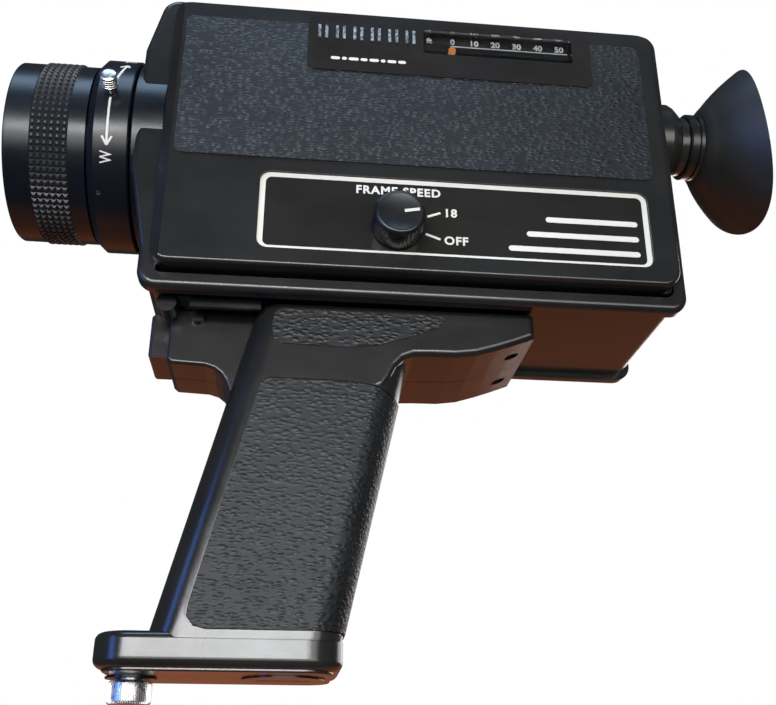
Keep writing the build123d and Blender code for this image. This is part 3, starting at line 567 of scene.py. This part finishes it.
def grub_screw():
    # socket-head grub screw sunk in the zoom ring
    t = math.radians(GRUB_SCREW_TURN)
    bm = bmesh.new()
    profile = [(0.72, 25.4), (0.72, 27.75), (0.62, 27.9), (0.45, 27.9),
               (0.42, 27.7), (0.42, 26.6), (0.02, 26.55), (0.02, 25.4)]
    placed = basis(local(0, GRUB_SCREW_Y, 0), (math.cos(t), 0, math.sin(t)), (0, 1, 0))
    lathe(bm, profile, placed, 24)
    finish_mesh(bm, "zoom_grub_screw", "steel", "zoom", ["zoom_set_screw"])


def filter_thread():
    # rings of fine thread inside the front of the lens
    bm = bmesh.new()
    front, back = THREAD_Y
    profile = []
    for k in range(THREAD_TURNS):
        y = front + THREAD_PITCH * k
        profile += [(THREAD_R, y), (THREAD_CREST_R, y + THREAD_PITCH / 2)]
    profile += [(THREAD_R, back), (THREAD_BACK_R, back), (THREAD_BACK_R, front)]
    lathe(bm, profile, basis(local(0, 0, 0), (0, 1, 0), (0, 0, 1)), 96)
    finish_mesh(bm, "filter_thread_ridges", "lens_paint", "focus")


# ---------------------------------------------------------------- body details

def rounded_outline(ys, zs, radius):
    pts = []
    centres = ((ys[1] - radius, zs[1] - radius), (ys[0] + radius, zs[1] - radius),
               (ys[0] + radius, zs[0] + radius), (ys[1] - radius, zs[0] + radius))
    for quarter, (cy, cz) in enumerate(centres):
        for k in range(9):
            t = math.radians(90 * quarter + 90 * k / 8)
            pts.append((cy + radius * math.cos(t), cz + radius * math.sin(t)))
    return pts


def panel_print():
    # printed frame, three bars and the words round the speed knob
    bm = bmesh.new()
    inner_y = (FRAME_Y[0] + FRAME_SIDE, FRAME_Y[1] - FRAME_SIDE)
    inner_z = (FRAME_Z[0] + FRAME_BOTTOM, FRAME_Z[1] - FRAME_TOP)
    outer = [bm.verts.new((*p, 0)) for p in rounded_outline(FRAME_Y, FRAME_Z, FRAME_CORNER)]
    inner = [bm.verts.new((*p, 0)) for p in rounded_outline(inner_y, inner_z, FRAME_CORNER - 1.2)]
    join_rings(bm, outer, inner)
    faces = list(bm.faces)
    for y, z in BAR_STARTS:
        faces += stroke(bm, (y, z), (BAR_END, z), BAR_WIDTH, 1, True)
    faces += stroke(bm, (75.7, -33.4), (79.2, -32.05), 0.65)
    faces += stroke(bm, (75.2, -38.7), (79.1, -40.15), 0.65)
    faces += lettering(bm, "18", WORD_HEIGHT, (80.1, -33.1), WORD_BOLD, 1.12)
    faces += lettering(bm, "OFF", WORD_HEIGHT, (80.1, -41.5), WORD_BOLD, 1.12)
    faces += lettering(bm, "FRAME SPEED", WORD_HEIGHT, (56.5, -27.2), WORD_BOLD, 1.14)
    thicken(bm, faces, on_side(PANEL_FACE), 0.07, 0.10)
    finish_mesh(bm, "panel_print", "mark_paint", BODY_OF["panel_marks"], ["panel_marks"])


def plate_dashes():
    # a line of plain dashes where small print would be
    bm = bmesh.new()
    faces = []
    y = DASH_START
    for length in DASHES:
        faces += stroke(bm, (y + 0.5, DASH_Z), (y + length, DASH_Z), 1.0, 1, True)
        y += length + 1.0
    thicken(bm, faces, on_side(PLATE_FACE), 0.05, 0.09)
    finish_mesh(bm, "plate_dashes", "mark_paint", BODY_OF["name_plate"])


def scale_print():
    # film left, in feet
    bm = bmesh.new()
    faces = lettering(bm, "ft", 1.9, (76.3, SCALE_BASE_Z), 0.08)
    for k in range(6):
        place = (SCALE_ZERO_Y + SCALE_STEP * k, SCALE_BASE_Z)
        faces += lettering(bm, str(10 * k), 1.95, place, 0.09, 1.0, "CENTER")
    faces += stroke(bm, (83.4, 25.3), (118.0, 25.3), 0.35, 2)
    thicken(bm, faces, on_side(SCALE_FACE), 0.04, 0.07)
    finish_mesh(bm, "scale_print", "mark_paint", BODY_OF["footage_scale"])


def pointer_tip():
    bm = bmesh.new()
    pts = [(82.7, 22.7), (84.7, 22.7), (84.7, 24.1), (83.7, 24.8), (82.7, 24.1)]
    faces = [bm.faces.new([bm.verts.new((*p, 0)) for p in pts])]
    thicken(bm, faces, on_side(SCALE_FACE + 0.1), 0.45, 0.4)
    finish_mesh(bm, "pointer_tip", "orange_plastic", BODY_OF["footage_pointer"])


def knob():
    # fluted knob with a painted line across its face
    bm = bmesh.new()

    def fluted(r, h, k):
        return r - 0.22 if 32.9 < h < 38.9 and k % 3 == 0 else r

    profile = [(2.0, 32.0), (6.4, 32.0), (6.7, 32.2), (6.75, 32.95), (6.75, 38.8), (6.65, 39.15),
               (6.4, 39.6), (5.9, 39.95), (5.6, 40.0), (5.2, 39.85), (0.4, KNOB_FACE)]
    placed = basis(local(0, *KNOB_AT), (1, 0, 0), (0, 1, 0))
    lathe(bm, profile, placed, 3 * KNOB_FLUTES, fluted, closed=False)
    finish_mesh(bm, "knob_cap", "gloss_black", "speed_knob", ["speed_knob"], sharp=50)

    bm = bmesh.new()
    t = math.radians(KNOB_TURN)
    d = Vector((math.cos(t), math.sin(t)))
    faces = stroke(bm, KNOB_AT + d * 1.1, KNOB_AT + d * 5.1, 0.85)
    thicken(bm, faces, on_side(KNOB_FACE), 0.1, 0.2)
    finish_mesh(bm, "knob_pointer", "mark_paint", "speed_knob")


# ---------------------------------------------------------------- eyecup and strap screw

def cup_ring(bm, s, inside):
    # one ring of the flared wall, at s from 0 at the root to 1 at the rim
    steps = 96
    root_r, root_y = (9.9, CUP_SEAT_Y) if inside else (10.3, CUP_ROOT_Y)
    swell = 0.9 * math.sin(math.pi * s) + 0.35 * math.sin(math.pi * min(1.0, 5 * s))
    trim = 1.5 - 0.7 * s if inside else 0.0
    r_x = root_r + (CUP_RIM_X - trim - root_r) * s + swell
    r_z = root_r + (CUP_RIM_Z - trim - root_r) * s + swell
    ring = []
    for k in range(steps):
        t = 2 * math.pi * k / steps
        c, d = math.cos(t), math.sin(t)
        rim_y = CUP_RIM_Y - 0.088 * CUP_RIM_Z * d - 4.7 * c * c
        rim_y += 0.25 if inside else 0.0
        y = root_y + (rim_y - root_y) * s ** 1.08
        ring.append(bm.verts.new(local(r_x * c, y, EYE_Z - 0.8 * s + r_z * d) / 1000))
    return ring


def sleeve_ring(bm, r, y):
    steps = 96
    ring = []
    for k in range(steps):
        t = 2 * math.pi * k / steps
        ring.append(bm.verts.new(local(r * math.cos(t), y, EYE_Z + r * math.sin(t)) / 1000))
    return ring


def soft_eyecup():
    # flared rubber cup: rim further back below than above, and drawn in at the sides
    bm = bmesh.new()
    rows = 22
    outer, inner = [], []
    for i in range(rows + 1):
        outer.append(cup_ring(bm, i / rows, False))
        inner.append(cup_ring(bm, i / rows, True))
    sleeve = [sleeve_ring(bm, 8.5, CUP_SEAT_Y), sleeve_ring(bm, 8.5, CUP_ROOT_Y)]
    loops = [*outer, *reversed(inner), *sleeve]
    for lo, hi in zip(loops, loops[1:] + loops[:1]):
        join_rings(bm, lo, hi)
    finish_mesh(bm, "soft_eyecup", "rubber", "eyecup", ["eyecup"], sharp=60)


def knurled_screw():
    bm = bmesh.new()

    def knurled(r, h, k):
        return r - 0.3 if 0.75 < h < 5.25 and r > 5 and k % 4 == 0 else r

    profile = [(3.175, 0.0), (4.5, 0.0), (5.0, 0.35), (5.2, 0.8), (5.25, 1.0), (5.25, 5.0), (5.2, 5.2),
               (4.9, 5.6), (3.4, 5.85), (3.2, 5.9), (3.2, 13.6), (0.5, 13.6), (0.5, 5.4), (3.175, 5.4)]
    lathe(bm, profile, basis(local(*SCREW_AT), (0, 0, 1), (1, 0, 0)), 4 * SCREW_KNURLS, knurled)
    finish_mesh(bm, "strap_screw_knurled", "chrome", "strap_screw", ["strap_screw"], sharp=25)


rubber_band()
zoom_stud()
zoom_marks()
grub_screw()
filter_thread()
panel_print()
plate_dashes()
scale_print()
pointer_tip()
knob()
soft_eyecup()
knurled_screw()
build_stage()
aim_camera()
